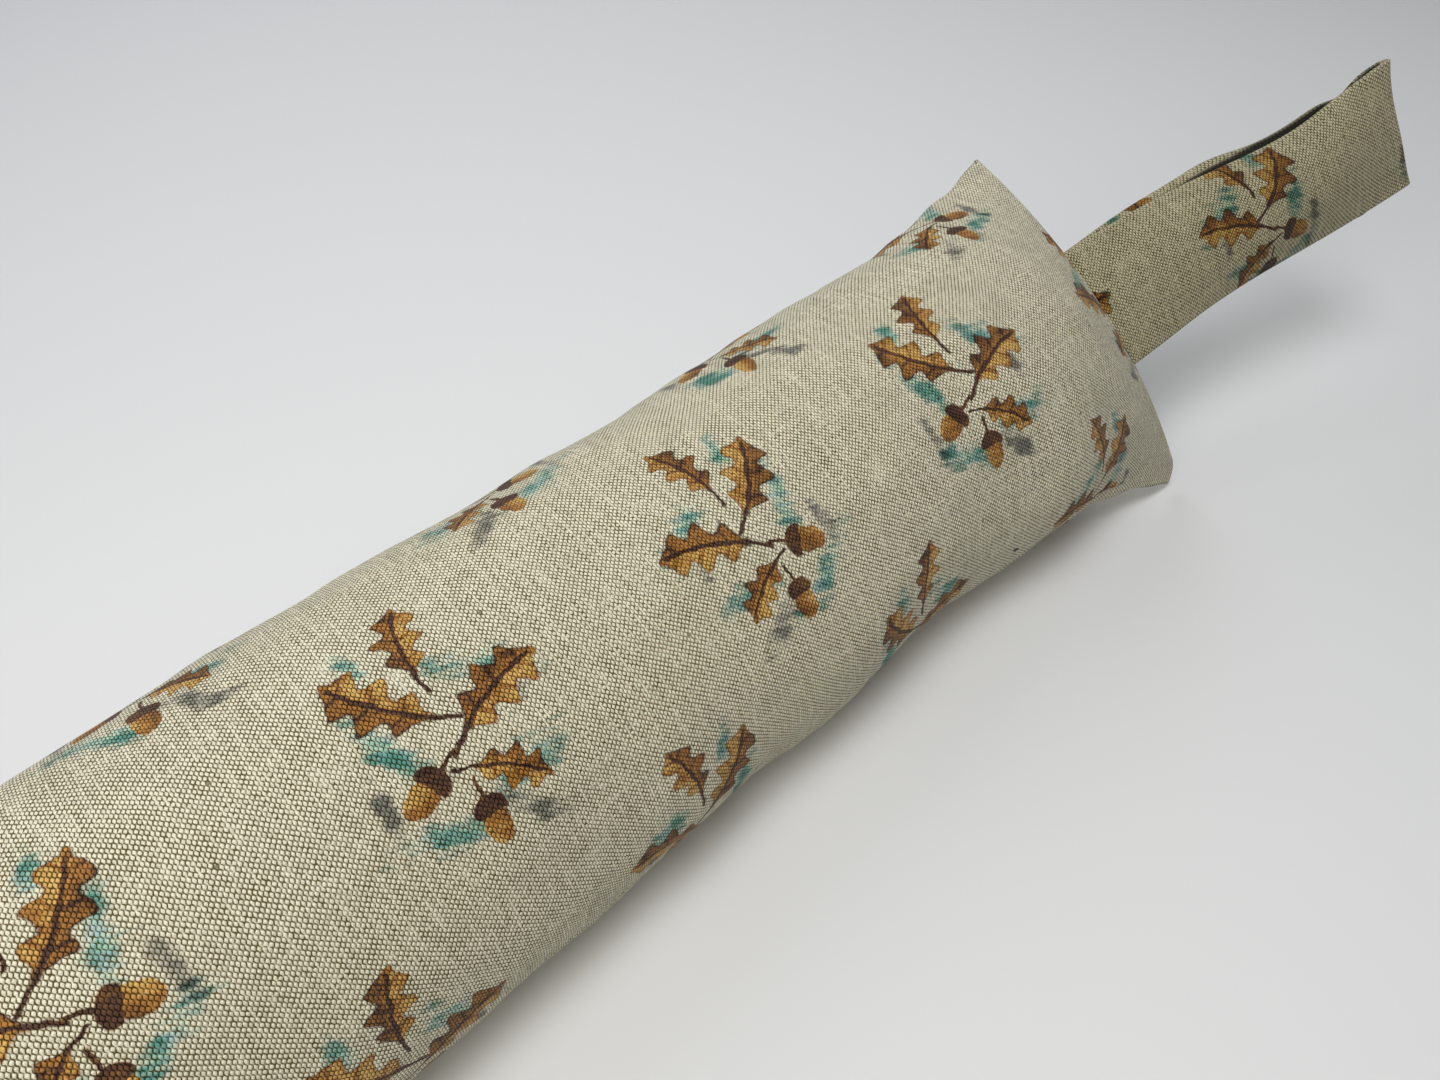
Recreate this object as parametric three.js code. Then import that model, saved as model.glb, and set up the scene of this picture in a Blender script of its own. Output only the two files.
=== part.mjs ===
// Draught excluder: a long tube of printed linen-look cloth, filled and sewn flat across both ends.
// A strap of the same cloth, doubled back into a hanging loop, is caught in the middle of one end seam.
// Millimetres, +Z up. The tube lies along X with the loop at the +X end, and rests flat on z = 0.
import * as THREE from "three";

// The filled tube: an oval section, wider across the flattened cloth than through it
const tube = {
  length: 900, // from seam to seam
  halfWidth: 64,
  halfDepth: 54,
  pressedFlat: 5, // depth of the round underside that the weight presses level
  loopTilt: 36, // degrees that the wide way of the section leans over beside the loop end
  plainTilt: 18, // the same beside the plain end
  sagBelow: 24, // the filling settles onto the floor below this height
};

// Slow swells of the filling along the tube's two sides: the place of a crest, the pitch between crests,
// how far from a seam they are felt, and the length over which they fade in and out
const upperSwell = { depth: 1.5, pitch: 280, crest: 100, felt: 450, fade: 130 };
const lowerSwell = { depth: 1.9, pitch: 105, crest: 257, felt: 220, fade: 60 };

// The sewn ends: a flat seam, bowed upwards in the middle, with an ear at either corner
const loopEnd = {
  tilt: 37, // degrees that the seam leans over
  centreY: -13, // middle of the straight line between the two corners
  centreZ: 62.8,
  chord: 159, // corner to corner
  bow: 20.6, // how far the middle of the seam stands above that line
  drawnIn: 10.7, // how far the filling draws the middle of the seam in along the tube
  upperEar: 66, // length along the tube over which each ear tapers away
  lowerEar: 106,
  upperTaper: 1, // power of each ear's side: 1 is straight, more is hollow
  lowerTaper: 2.8,
  upperBlunt: 0, // how far each corner is turned back from a sharp point
  lowerBlunt: 7,
  upperRise: 95, // length over which the upper and lower faces swell to their full depth
  lowerRise: 75,
  droop: new THREE.Vector3(13, 3.7, -12), // how far the lower corner sinks and swings out as it does
};
const plainEnd = {
  tilt: 14,
  centreY: 0,
  centreZ: 48,
  chord: 166,
  bow: 12,
  drawnIn: 12,
  upperEar: 90,
  lowerEar: 90,
  upperTaper: 2.2,
  lowerTaper: 2.2,
  upperBlunt: 2,
  lowerBlunt: 2,
  upperRise: 90,
  lowerRise: 80,
  droop: new THREE.Vector3(0, 0, 0),
};

// What both ends share
const sewing = {
  seamHalf: 2, // half the thickness of the turned-in seam
  settle: 130, // length over which an end turns into the plain tube
  earSoftness: 0.08, // rounds the bend where an ear leaves the tube
  cornerShare: 0.9, // the corners turn back past this share of the seam's half length
  droopFrom: 0.35, // a corner droops past this share of the seam's half length
  droopTaper: 1.5, // how much faster a drooping corner fades along the tube than its ear
  lensReach: 60, // length over which the pointed section beside a seam rounds out
  pucker: 1.2, // soft gathers in the folded sides beside the ears
  puckerPitch: 27,
  puckerFade: 55,
};

// How finely the tube is divided
const mesh = {
  around: 48,
  endRings: 15,
  endCrowding: 1.45, // rings crowd towards the seams by this power
  middleRings: 36,
};

// The strap, from the seam to the fold at its tip. Each row is one place along it, measured from the
// middle of the seam: out along X, aside along Y, up along Z, turned further over than the seam, cupped
// across its width, with a gap between its two layers and the back layer lifted above the front one.
const strap = {
  width: 54,
  layer: 1.8,
  clearance: 0.3, // between the strap and the seam that holds it
  flick: 3.2, // how far the two corners of its tip reach past the middle
  flickReach: 50,
  steps: 16,
  across: 6,
  foldSteps: 6,
};
const strapRows = [
  { out: 0, aside: 0, up: 0, turn: 0, cup: 2.4, gap: 0.6, lift: 0 },
  { out: 50, aside: -8.4, up: 9.9, turn: 6.7, cup: 8.7, gap: 3.4, lift: 2.6 },
  { out: 105, aside: -24, up: 22.2, turn: 19, cup: 10.5, gap: 3.8, lift: 1.4 },
  { out: 149.5, aside: -36.5, up: 38.2, turn: 20, cup: 0.5, gap: 2.4, lift: 0 },
];

const clothColour = 0xb8b19a;
const strapColour = 0x9c9478;

const radians = THREE.MathUtils.degToRad;
const mix = THREE.MathUtils.lerp;
const easeIn = (value, length) => THREE.MathUtils.smoothstep(value, 0, length);

// A leaning frame in the YZ plane: across runs along the flattened cloth, through runs out of its face
function lean(degrees) {
  const angle = radians(degrees);
  return {
    across: new THREE.Vector3(0, Math.cos(angle), Math.sin(angle)),
    through: new THREE.Vector3(0, -Math.sin(angle), Math.cos(angle)),
  };
}

// Height of the middle of the plain tube, so that its underside is pressed flat by the stated depth
function restingHeight(tilt) {
  const angle = radians(tilt);
  const halfHeight = Math.hypot(tube.halfWidth * Math.sin(angle), tube.halfDepth * Math.cos(angle));
  return halfHeight - tube.pressedFlat;
}

// Share of an ear's full reach that is left at a distance from the seam
function earLeft(fromSeam, length, taper) {
  const left = 1 - fromSeam / length;
  const softened = (left + Math.hypot(left, sewing.earSoftness)) / 2;
  return softened ** taper;
}

// One point of the tube: x is measured from the middle of its length, and angle runs round the section
// from the upper ear (0) over the upper face to the lower ear (pi) and back under the lower face
function tubePoint(x, angle) {
  const end = x > 0 ? loopEnd : plainEnd;
  const fromSeam = tube.length / 2 - Math.abs(x);
  const side = Math.cos(angle);
  const face = Math.sin(angle);

  const upperShare = earLeft(fromSeam, end.upperEar, end.upperTaper);
  const lowerShare = earLeft(fromSeam, end.lowerEar, end.lowerTaper);
  const earShare = side > 0 ? upperShare : lowerShare;
  const wave = side > 0 ? upperSwell : lowerSwell;
  const swelling = easeIn(fromSeam, wave.fade) - easeIn(fromSeam - wave.felt, wave.fade);
  const swell = wave.depth * swelling * Math.cos((2 * Math.PI * (x - wave.crest)) / wave.pitch);
  const settled = easeIn(fromSeam, sewing.settle);
  const gather = Math.exp(-fromSeam / sewing.puckerFade) * easeIn(fromSeam, sewing.puckerPitch);
  const pucker = sewing.pucker * gather * Math.sin((2 * Math.PI * fromSeam) / sewing.puckerPitch);
  const reach = mix(tube.halfWidth, end.chord / 2, earShare) + swell + pucker * side ** 8;

  const upper = Math.sin((Math.PI / 2) * Math.min(1, fromSeam / end.upperRise));
  const lowerLeft = Math.max(0, 1 - fromSeam / end.lowerRise);
  const lower = Math.sqrt(1 - lowerLeft ** 2);
  const risen = face >= 0 ? upper : lower;
  const pointed = 2 - easeIn(fromSeam, sewing.lensReach);
  const depth = mix(sewing.seamHalf, tube.halfDepth, risen) * Math.abs(face) ** pointed;
  const bow = end.bow * (1 - risen) * face ** 2;

  const middleTilt = mix(tube.plainTilt, tube.loopTilt, easeIn(x + tube.length / 2, tube.length));
  const frame = lean(mix(end.tilt, middleTilt, settled));
  const blunt = side > 0 ? end.upperBlunt : end.lowerBlunt;
  const corner = Math.max(0, Math.abs(side) - sewing.cornerShare) / (1 - sewing.cornerShare);
  const nearSeam = Math.max(0, 1 - fromSeam / end.upperRise) ** 2;
  const drawnIn = (end.drawnIn * face ** 2 + blunt * corner ** 2) * nearSeam;
  const centreY = mix(end.centreY, 0, settled);
  const centreZ = mix(end.centreZ, restingHeight(middleTilt), settled);
  const point = new THREE.Vector3(x - Math.sign(x) * drawnIn, centreY, centreZ);
  point.addScaledVector(frame.across, reach * side);
  point.addScaledVector(frame.through, bow + Math.sign(face) * depth);
  const sunk = Math.max(0, -side - sewing.droopFrom) / (1 - sewing.droopFrom);
  point.addScaledVector(end.droop, sunk ** 2 * lowerShare ** sewing.droopTaper);
  point.z = Math.max(0, point.z) * mix(1, easeIn(point.z, tube.sagBelow), settled);
  return point;
}

// Places of the rings along the tube: crowded beside both seams, even between
function ringPlaces() {
  const half = tube.length / 2;
  const nearSeam = [];
  for (let i = 0; i < mesh.endRings; i += 1) {
    nearSeam.push(half - sewing.settle * (i / mesh.endRings) ** mesh.endCrowding);
  }
  const places = nearSeam.map((x) => -x);
  const inner = half - sewing.settle;
  for (let i = 0; i <= mesh.middleRings; i += 1) {
    places.push(mix(-inner, inner, i / mesh.middleRings));
  }
  return places.concat(nearSeam.reverse());
}

function closedMesh(name, points, triangles, colour) {
  const geometry = new THREE.BufferGeometry().setFromPoints(points);
  geometry.setIndex(triangles);
  geometry.computeVertexNormals();
  const material = new THREE.MeshStandardMaterial({ color: colour, roughness: 0.95, metalness: 0 });
  const made = new THREE.Mesh(geometry, material);
  made.name = name;
  return made;
}

// The filled tube: rings joined into a skin, and a narrow band across each seam
function makeBody() {
  const points = [];
  const triangles = [];
  const count = mesh.around;
  const places = ringPlaces();
  for (const x of places) {
    for (let i = 0; i < count; i += 1) {
      points.push(tubePoint(x, (2 * Math.PI * i) / count));
    }
  }
  for (let ring = 0; ring + 1 < places.length; ring += 1) {
    for (let i = 0; i < count; i += 1) {
      const a = ring * count + i;
      const b = ring * count + ((i + 1) % count);
      triangles.push(a, b, a + count, b, b + count, a + count);
    }
  }
  const last = (places.length - 1) * count;
  for (let i = 0; i < count / 2; i += 1) {
    const corners = [i, i + 1, count - i - 1, (count - i) % count];
    const [upper, nextUpper, nextLower, lower] = corners;
    if (nextUpper !== nextLower) {
      triangles.push(upper, nextLower, nextUpper);
      triangles.push(last + upper, last + nextUpper, last + nextLower);
    }
    if (upper !== lower) {
      triangles.push(upper, lower, nextLower);
      triangles.push(last + upper, last + nextLower, last + lower);
    }
  }
  return closedMesh("body", points, triangles, clothColour);
}

// A strap column at any place along it: a smooth curve through the table's rows
function strapColumn(name, out) {
  const upTo = strapRows.findIndex((row) => row.out >= out);
  const i = Math.max(1, upTo === -1 ? strapRows.length - 1 : upTo);
  const [from, to] = [strapRows[i - 1], strapRows[i]];
  const before = strapRows[Math.max(0, i - 2)];
  const after = strapRows[Math.min(strapRows.length - 1, i + 1)];
  const span = to.out - from.out;
  const t = (out - from.out) / span;
  const startSlope = ((to[name] - before[name]) / (to.out - before.out)) * span;
  const endSlope = ((after[name] - from[name]) / (after.out - from.out)) * span;
  const eased = t * t * (3 - 2 * t);
  const bend = startSlope * t * (1 - t) ** 2 - endSlope * t * t * (1 - t);
  return mix(from[name], to[name], eased) + bend;
}

// Middle of the loop end's seam, on the line between the strap's two edges
function strapRoot() {
  const frame = lean(loopEnd.tilt);
  const x = tube.length / 2 - loopEnd.drawnIn + strap.clearance;
  const root = new THREE.Vector3(x, loopEnd.centreY, loopEnd.centreZ);
  return root.addScaledVector(frame.through, loopEnd.bow - strapRows[0].cup);
}

// One point of the strap: share runs across its width from -1 to 1, off is its distance out of the
// face from the middle of the gap, and raise is how far its layer is lifted along the width
function strapPoint(root, out, share, off, raise, past) {
  const frame = lean(loopEnd.tilt + strapColumn("turn", out));
  const cup = strapColumn("cup", out);
  const chord = strap.width - ((8 / 3) * cup ** 2) / strap.width; // narrower where it is cupped
  const atSeam = (share * strap.width) / loopEnd.chord;
  const followSeam = loopEnd.drawnIn * atSeam ** 2 * (1 - easeIn(out, strap.width));
  const toTip = strapRows[strapRows.length - 1].out - out;
  const flick = strap.flick * share ** 2 * (1 - easeIn(toTip, strap.flickReach));
  const point = root.clone();
  point.x += out + past + followSeam + flick;
  point.y += strapColumn("aside", out);
  point.z += strapColumn("up", out);
  point.addScaledVector(frame.across, (share * chord) / 2 + raise);
  point.addScaledVector(frame.through, cup * (1 - share ** 2) + off);
  return point;
}

// Stations along the strap: out to the tip on the front layer, round the fold, and back behind it.
// Each has its place, and its inner and outer distances from the middle of the gap.
function strapStations() {
  const tip = strapRows[strapRows.length - 1].out;
  const stations = [];
  for (let i = 0; i <= strap.steps; i += 1) {
    const out = (tip * i) / strap.steps;
    stations.push({ out, facing: 1, past: 0, raise: 0 });
  }
  for (let i = 1; i < strap.foldSteps; i += 1) {
    const turn = (Math.PI * i) / strap.foldSteps;
    stations.push({ out: tip, facing: Math.cos(turn), past: Math.sin(turn), raise: 0 });
  }
  for (let i = strap.steps; i >= 0; i -= 1) {
    const out = (tip * i) / strap.steps;
    stations.push({ out, facing: -1, past: 0, raise: strapColumn("lift", out) });
  }
  return stations;
}

// The hanging loop: one doubled section with an inner and an outer face
function makeHangingLoop() {
  const root = strapRoot();
  const stations = strapStations();
  const points = [];
  const triangles = [];
  const columns = strap.across + 1;
  const ring = 2 * columns;
  for (const { out, facing, past, raise } of stations) {
    const inner = strapColumn("gap", out) / 2;
    const outer = inner + strap.layer;
    for (let i = 0; i < ring; i += 1) {
      const onOuter = i < columns;
      const column = onOuter ? i : ring - 1 - i;
      const share = (2 * column) / strap.across - 1;
      const distance = onOuter ? outer : inner;
      points.push(strapPoint(root, out, share, facing * distance, raise, past * distance));
    }
  }
  for (let k = 0; k + 1 < stations.length; k += 1) {
    for (let i = 0; i < ring; i += 1) {
      const a = k * ring + i;
      const b = k * ring + ((i + 1) % ring);
      triangles.push(a, a + ring, b, b, a + ring, b + ring);
    }
  }
  const last = (stations.length - 1) * ring;
  for (let i = 0; i + 1 < columns; i += 1) {
    const [outer, nextOuter, nextInner, inner] = [i, i + 1, ring - 2 - i, ring - 1 - i];
    triangles.push(outer, nextOuter, nextInner, outer, nextInner, inner);
    triangles.push(last + outer, last + nextInner, last + nextOuter);
    triangles.push(last + outer, last + inner, last + nextInner);
  }
  return closedMesh("hanging_loop", points, triangles, strapColour);
}

// The whole part, moved so that its box stands centred on the origin
function makeDraughtExcluder() {
  const group = new THREE.Group();
  group.add(makeBody(), makeHangingLoop());
  const centre = new THREE.Box3().setFromObject(group).getCenter(new THREE.Vector3());
  group.position.set(-centre.x, -centre.y, 0);
  return group;
}

export default makeDraughtExcluder();
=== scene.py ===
import math

import bpy
import numpy as np
from mathutils import Matrix, Vector


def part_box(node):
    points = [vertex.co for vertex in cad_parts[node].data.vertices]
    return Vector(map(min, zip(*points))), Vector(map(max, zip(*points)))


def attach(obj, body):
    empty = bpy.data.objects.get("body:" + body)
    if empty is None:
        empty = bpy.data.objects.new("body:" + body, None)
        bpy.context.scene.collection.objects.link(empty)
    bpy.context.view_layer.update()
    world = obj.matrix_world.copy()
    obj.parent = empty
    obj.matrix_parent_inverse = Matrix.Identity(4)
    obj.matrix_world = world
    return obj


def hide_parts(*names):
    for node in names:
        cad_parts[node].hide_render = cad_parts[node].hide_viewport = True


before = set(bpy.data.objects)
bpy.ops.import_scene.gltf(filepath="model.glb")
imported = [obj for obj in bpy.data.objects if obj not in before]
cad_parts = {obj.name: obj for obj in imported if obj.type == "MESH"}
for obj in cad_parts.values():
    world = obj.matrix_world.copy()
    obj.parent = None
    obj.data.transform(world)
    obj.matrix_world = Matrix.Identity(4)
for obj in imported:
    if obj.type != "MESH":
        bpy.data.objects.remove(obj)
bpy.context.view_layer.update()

mm = 0.001

# Body: a filled tube of printed cloth, sewn flat across both ends
tube = {
    "length": 900 * mm,
    "halfWidth": 64 * mm,
    "halfDepth": 54 * mm,
    "pressedFlat": 5 * mm,
    "loopTilt": 36,  # degrees the section leans beside the loop end
    "plainTilt": 18,
    "sagBelow": 24 * mm,  # the filling settles onto the floor below this height
    "rings": 150,  # in each half of the tube
    "evenRings": 0.35,  # share of their spacing that is even, while the rest crowds towards the seams
    "crowding": 2.2,
    "around": 256,
    "traced": 241,  # points that trace half a section before they are spread evenly
}
upperSwell = {"depth": 1.5 * mm, "pitch": 280 * mm, "crest": 100 * mm, "felt": 450 * mm, "fade": 130 * mm}
lowerSwell = {"depth": 1.9 * mm, "pitch": 105 * mm, "crest": 257 * mm, "felt": 220 * mm, "fade": 60 * mm}
loopEnd = {
    "tilt": 37,
    "centreY": -13 * mm,
    "centreZ": 62.8 * mm,
    "chord": 159 * mm,  # corner to corner of the sewn end
    "bow": 20.6 * mm,
    "drawnIn": 10.7 * mm,
    "upperEar": 66 * mm,
    "lowerEar": 106 * mm,
    "upperTaper": 1,
    "lowerTaper": 2.8,
    "upperBlunt": 0,
    "lowerBlunt": 7 * mm,
    "upperRise": 95 * mm,
    "lowerRise": 75 * mm,
    "droop": (13 * mm, 3.7 * mm, -12 * mm),  # where the lower corner sinks to
}
plainEnd = {
    "tilt": 14,
    "centreY": 0,
    "centreZ": 48 * mm,
    "chord": 166 * mm,
    "bow": 12 * mm,
    "drawnIn": 12 * mm,
    "upperEar": 90 * mm,
    "lowerEar": 90 * mm,
    "upperTaper": 2.2,
    "lowerTaper": 2.2,
    "upperBlunt": 2 * mm,
    "lowerBlunt": 2 * mm,
    "upperRise": 90 * mm,
    "lowerRise": 80 * mm,
    "droop": (0, 0, 0),
}
sewing = {
    "seamHalf": 2 * mm,
    "settle": 130 * mm,  # the end's lean and place pass into the tube's over this length
    "earSoftness": 0.08,
    "cornerShare": 0.9,
    "droopFrom": 0.35,  # a corner droops past this share of the seam's half length
    "droopTaper": 1.5,
    "lensReach": 60 * mm,
    "pucker": 1.2 * mm,
    "puckerPitch": 27 * mm,
    "puckerFade": 55 * mm,
    "puckerKeen": 8,  # the higher, the closer the puckers keep to the sides
}
filling = {  # uneven lumps under the cloth
    "lump": 0.5 * mm,
    "pitch": 60 * mm,
    "seed": 3,
    "finePitch": 25 * mm,
    "fineSeed": 5,
    "fineShare": 0.5,
    "settle": 60 * mm,  # the cloth is smooth at the end seams and lumpy this far from them
    "touching": 0.5 * mm,  # cloth below this height lies flat
}
longSeam = {
    "above": 8 * mm,  # how far it lies above the lower side
    "groove": 1.1 * mm,
    "grooveWidth": 1.8 * mm,
    "ruck": 0.35 * mm,
    "ruckPitch": 13 * mm,
    "ruckFade": 7 * mm,
}
seamRoll = {
    # share of the seam's half thickness, and millimetres out of it, as the cloth rolls into the end seam
    "steps": [(0.93, 0.45), (0.75, 0.8), (0.5, 0.85), (0.26, 0.45), (0.12, -0.5), (0.08, -1.6)],
    "cloth": 0.6 * mm,  # cloth in each step
}


def ease(value, length):
    t = np.clip(value / length, 0, 1)
    return t * t * (3 - 2 * t)


def mix(a, b, t):
    return a + (b - a) * t


def lean(degrees):
    angle = np.radians(degrees)
    across = np.array([0, math.cos(angle), math.sin(angle)])
    through = np.array([0, -math.sin(angle), math.cos(angle)])
    return across, through


def restingHeight(tilt):
    angle = math.radians(tilt)
    high = math.hypot(tube["halfWidth"] * math.sin(angle), tube["halfDepth"] * math.cos(angle))
    return high - tube["pressedFlat"]


def earLeft(fromSeam, length, taper):  # share of an ear's full reach at a distance from the seam
    left = 1 - fromSeam / length
    return ((left + math.hypot(left, sewing["earSoftness"])) / 2) ** taper


def swellAt(x, fromSeam, wave):
    felt = ease(fromSeam, wave["fade"]) - ease(fromSeam - wave["felt"], wave["fade"])
    return wave["depth"] * felt * math.cos(2 * math.pi * (x - wave["crest"]) / wave["pitch"])


def tubeRing(x, angles):  # the section at x from the tube's middle; angle 0 is the upper ear, pi the lower
    end = loopEnd if x > 0 else plainEnd
    fromSeam = tube["length"] / 2 - abs(x)
    side, face = np.cos(angles), np.sin(angles)
    upperShare = earLeft(fromSeam, end["upperEar"], end["upperTaper"])
    lowerShare = earLeft(fromSeam, end["lowerEar"], end["lowerTaper"])
    earShare = np.where(side > 0, upperShare, lowerShare)
    swell = np.where(side > 0, swellAt(x, fromSeam, upperSwell), swellAt(x, fromSeam, lowerSwell))
    settled = ease(fromSeam, sewing["settle"])
    gather = math.exp(-fromSeam / sewing["puckerFade"]) * ease(fromSeam, sewing["puckerPitch"])
    pucker = sewing["pucker"] * gather * math.sin(2 * math.pi * fromSeam / sewing["puckerPitch"])
    reach = mix(tube["halfWidth"], end["chord"] / 2, earShare) + swell + pucker * side ** sewing["puckerKeen"]
    upper = math.sin(math.pi / 2 * min(1, fromSeam / end["upperRise"]))
    lower = math.sqrt(1 - max(0, 1 - fromSeam / end["lowerRise"]) ** 2)
    risen = np.where(face >= 0, upper, lower)
    pointed = 2 - ease(fromSeam, sewing["lensReach"])  # a lens at the seam, an oval further in
    depth = mix(sewing["seamHalf"], tube["halfDepth"], risen) * np.abs(face) ** pointed
    bow = end["bow"] * (1 - risen) * face ** 2
    middleTilt = mix(tube["plainTilt"], tube["loopTilt"], ease(x + tube["length"] / 2, tube["length"]))
    across, through = lean(mix(end["tilt"], middleTilt, settled))
    blunt = np.where(side > 0, end["upperBlunt"], end["lowerBlunt"])
    corner = np.maximum(0, np.abs(side) - sewing["cornerShare"]) / (1 - sewing["cornerShare"])
    nearSeam = max(0, 1 - fromSeam / end["upperRise"]) ** 2
    drawnIn = (end["drawnIn"] * face ** 2 + blunt * corner ** 2) * nearSeam
    points = np.outer(reach * side, across) + np.outer(bow + np.sign(face) * depth, through)
    points[:, 0] += x - math.copysign(1, x) * drawnIn
    points[:, 1] += mix(end["centreY"], 0, settled)
    points[:, 2] += mix(end["centreZ"], restingHeight(middleTilt), settled)
    sunk = np.maximum(0, -side - sewing["droopFrom"]) / (1 - sewing["droopFrom"])
    points += np.outer(sunk ** 2 * lowerShare ** sewing["droopTaper"], end["droop"])
    points[:, 2] = np.maximum(0, points[:, 2]) * mix(1, ease(points[:, 2], tube["sagBelow"]), settled)
    return points


def evenRing(x):  # the same section with its points spread evenly along the cloth
    halves = []
    offCorner = 1e-9
    for start in (0, math.pi):
        fine = tubeRing(x, start + np.linspace(offCorner, math.pi - offCorner, tube["traced"]))
        steps = np.linalg.norm(np.diff(fine, axis=0), axis=1)
        travelled = np.concatenate([[0], np.cumsum(steps)])
        wanted = np.linspace(0, travelled[-1], tube["around"] // 2, endpoint=False)
        halves.append(np.stack([np.interp(wanted, travelled, fine[:, k]) for k in range(3)], -1))
    return np.concatenate(halves)


def softNoise(u, v, pitch, seed, waves=14, spread=(0.6, 1.8)):  # uneven waves, about -1 to 1
    random = np.random.default_rng(seed)
    total = np.zeros_like(u)
    for _ in range(waves):
        angle = random.uniform(0, 2 * math.pi)
        scale = 2 * math.pi / (pitch * random.uniform(*spread))
        phase = random.uniform(0, 2 * math.pi)
        total += np.sin(scale * (u * math.cos(angle) + v * math.sin(angle)) + phase)
    return total / math.sqrt(waves)


def outwardNormals(grid):  # of a grid that closes round its columns
    along = np.gradient(grid, axis=0)
    around = np.roll(grid, -1, axis=1) - np.roll(grid, 1, axis=1)
    normal = np.cross(around, along)
    shortest = 1e-12  # keeps it from dividing by nothing
    return normal / np.maximum(np.linalg.norm(normal, axis=2, keepdims=True), shortest)


def makeMesh(name, points, faces, clothMap):  # clothMap: a cloth coordinate in metres for each face corner
    mesh = bpy.data.meshes.new(name)
    mesh.from_pydata(points.tolist(), [], faces)
    layer = mesh.uv_layers.new(name="cloth")
    layer.data.foreach_set("uv", clothMap.astype(np.float32).ravel())
    mesh.shade_smooth()
    made = bpy.data.objects.new(name, mesh)
    bpy.context.scene.collection.objects.link(made)
    return made


def gridFaces(rows, columns):  # quads of a grid that closes round its columns, with each corner's place in it
    row, column = np.meshgrid(np.arange(rows - 1), np.arange(columns), indexing="ij")
    cornerRows = np.stack([row, row, row + 1, row + 1], -1).reshape(-1, 4)
    cornerColumns = np.stack([column, column + 1, column + 1, column], -1).reshape(-1, 4)
    faces = cornerRows * columns + cornerColumns % columns
    return faces, cornerRows, cornerColumns


def bodySections():  # places along the tube, and the ring of points at each
    half = tube["length"] / 2
    share = np.linspace(0, 1, tube["rings"])
    fromSeam = half * (tube["evenRings"] * share + (1 - tube["evenRings"]) * share ** tube["crowding"])
    places = np.concatenate([fromSeam - half, (half - fromSeam[:-1])[::-1]])
    return places, np.stack([evenRing(x) for x in places])


def unevenLift(places, u, v, girth):  # how far the lumps and the long seam move the cloth out or in
    settled = ease(tube["length"] / 2 - np.abs(places), filling["settle"])[:, None]
    lumps = softNoise(u, v, filling["pitch"], filling["seed"])
    lumps += filling["fineShare"] * softNoise(u, v, filling["finePitch"], filling["fineSeed"])
    fromLong = np.abs(v - girth / 2 + longSeam["above"])
    groove = longSeam["groove"] * np.exp(-(fromLong / longSeam["grooveWidth"]) ** 2)
    ruckles = np.exp(-fromLong / longSeam["ruckFade"]) * np.sin(2 * math.pi * u / longSeam["ruckPitch"])
    return (filling["lump"] * lumps - groove + longSeam["ruck"] * ruckles) * settled


def rollEnds(grid, u):  # adds the cloth that rolls into both end seams
    around = tube["around"]
    rolls = {-1: [], 1: []}
    for sign, ring in ((-1, grid[0]), (1, grid[-1])):
        opposite = ring[(-np.arange(around)) % around]
        middle, out = (ring + opposite) / 2, (ring - opposite) / 2
        for keep, past in seamRoll["steps"]:
            rolls[sign].append(middle + out * keep + np.array([sign * past * mm, 0, 0]))
    extra = (np.arange(len(seamRoll["steps"])) + 1) * seamRoll["cloth"]
    grid = np.concatenate([np.stack(rolls[-1][::-1]), grid, np.stack(rolls[1])])
    return grid, np.concatenate([u[0] - extra[::-1, None], u, u[-1] + extra[:, None]])


def endFaces(rows):  # quads across both ends, with a triangle at each corner
    around = tube["around"]
    mid = around // 2
    closing = [[i, around - i, around - i - 1, i + 1] for i in range(1, mid - 1)]
    closing += [[0, around - 1, 1], [mid - 1, mid + 1, mid]]
    last = (rows - 1) * around
    return closing + [[last + i for i in reversed(face)] for face in closing]


def makeBody():
    around = tube["around"]
    places, grid = bodySections()
    middle = grid[tube["rings"]]
    girth = np.linalg.norm(np.diff(middle, axis=0, append=middle[:1]), axis=1).sum()
    steps = np.linalg.norm(np.diff(grid, axis=0), axis=2)
    u = np.concatenate([np.zeros((1, around)), np.cumsum(steps, axis=0)])
    u -= u[tube["rings"] - 1]
    v = np.broadcast_to(np.arange(around) / around * girth, u.shape)

    lift = unevenLift(places, u, v, girth)
    lift[grid[:, :, 2] < filling["touching"]] = 0
    grid = grid + outwardNormals(grid) * lift[:, :, None]
    grid[:, :, 2] = np.maximum(0, grid[:, :, 2])
    grid, u = rollEnds(grid, u)

    faces, cornerRows, cornerColumns = gridFaces(len(grid), around)
    seamColumn = round((0.5 - longSeam["above"] / girth) * around)
    fromSewn = (cornerColumns[:, :1] - seamColumn) % around + cornerColumns - cornerColumns[:, :1]
    clothMap = np.stack([u[cornerRows, cornerColumns % around], fromSewn * girth / around], -1)
    ends = endFaces(len(grid))
    corners = np.concatenate(ends)
    endMap = np.stack([u.reshape(-1)[corners], (corners - seamColumn) % around * girth / around], -1)
    clothMap = np.concatenate([clothMap.reshape(-1, 2), endMap])
    return grid.reshape(-1, 3), faces.tolist() + ends, clothMap, girth


bodyPoints, bodyFaces, bodyMap, girth = makeBody()
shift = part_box("body")[0][0] - bodyPoints[:, 0].min()  # the CAD frame is centred on the whole part
bodyPoints[:, 0] += shift
body = makeMesh("body_cloth", bodyPoints, bodyFaces, bodyMap)
print("body", len(bodyPoints), "points, girth", round(girth, 4))

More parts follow.
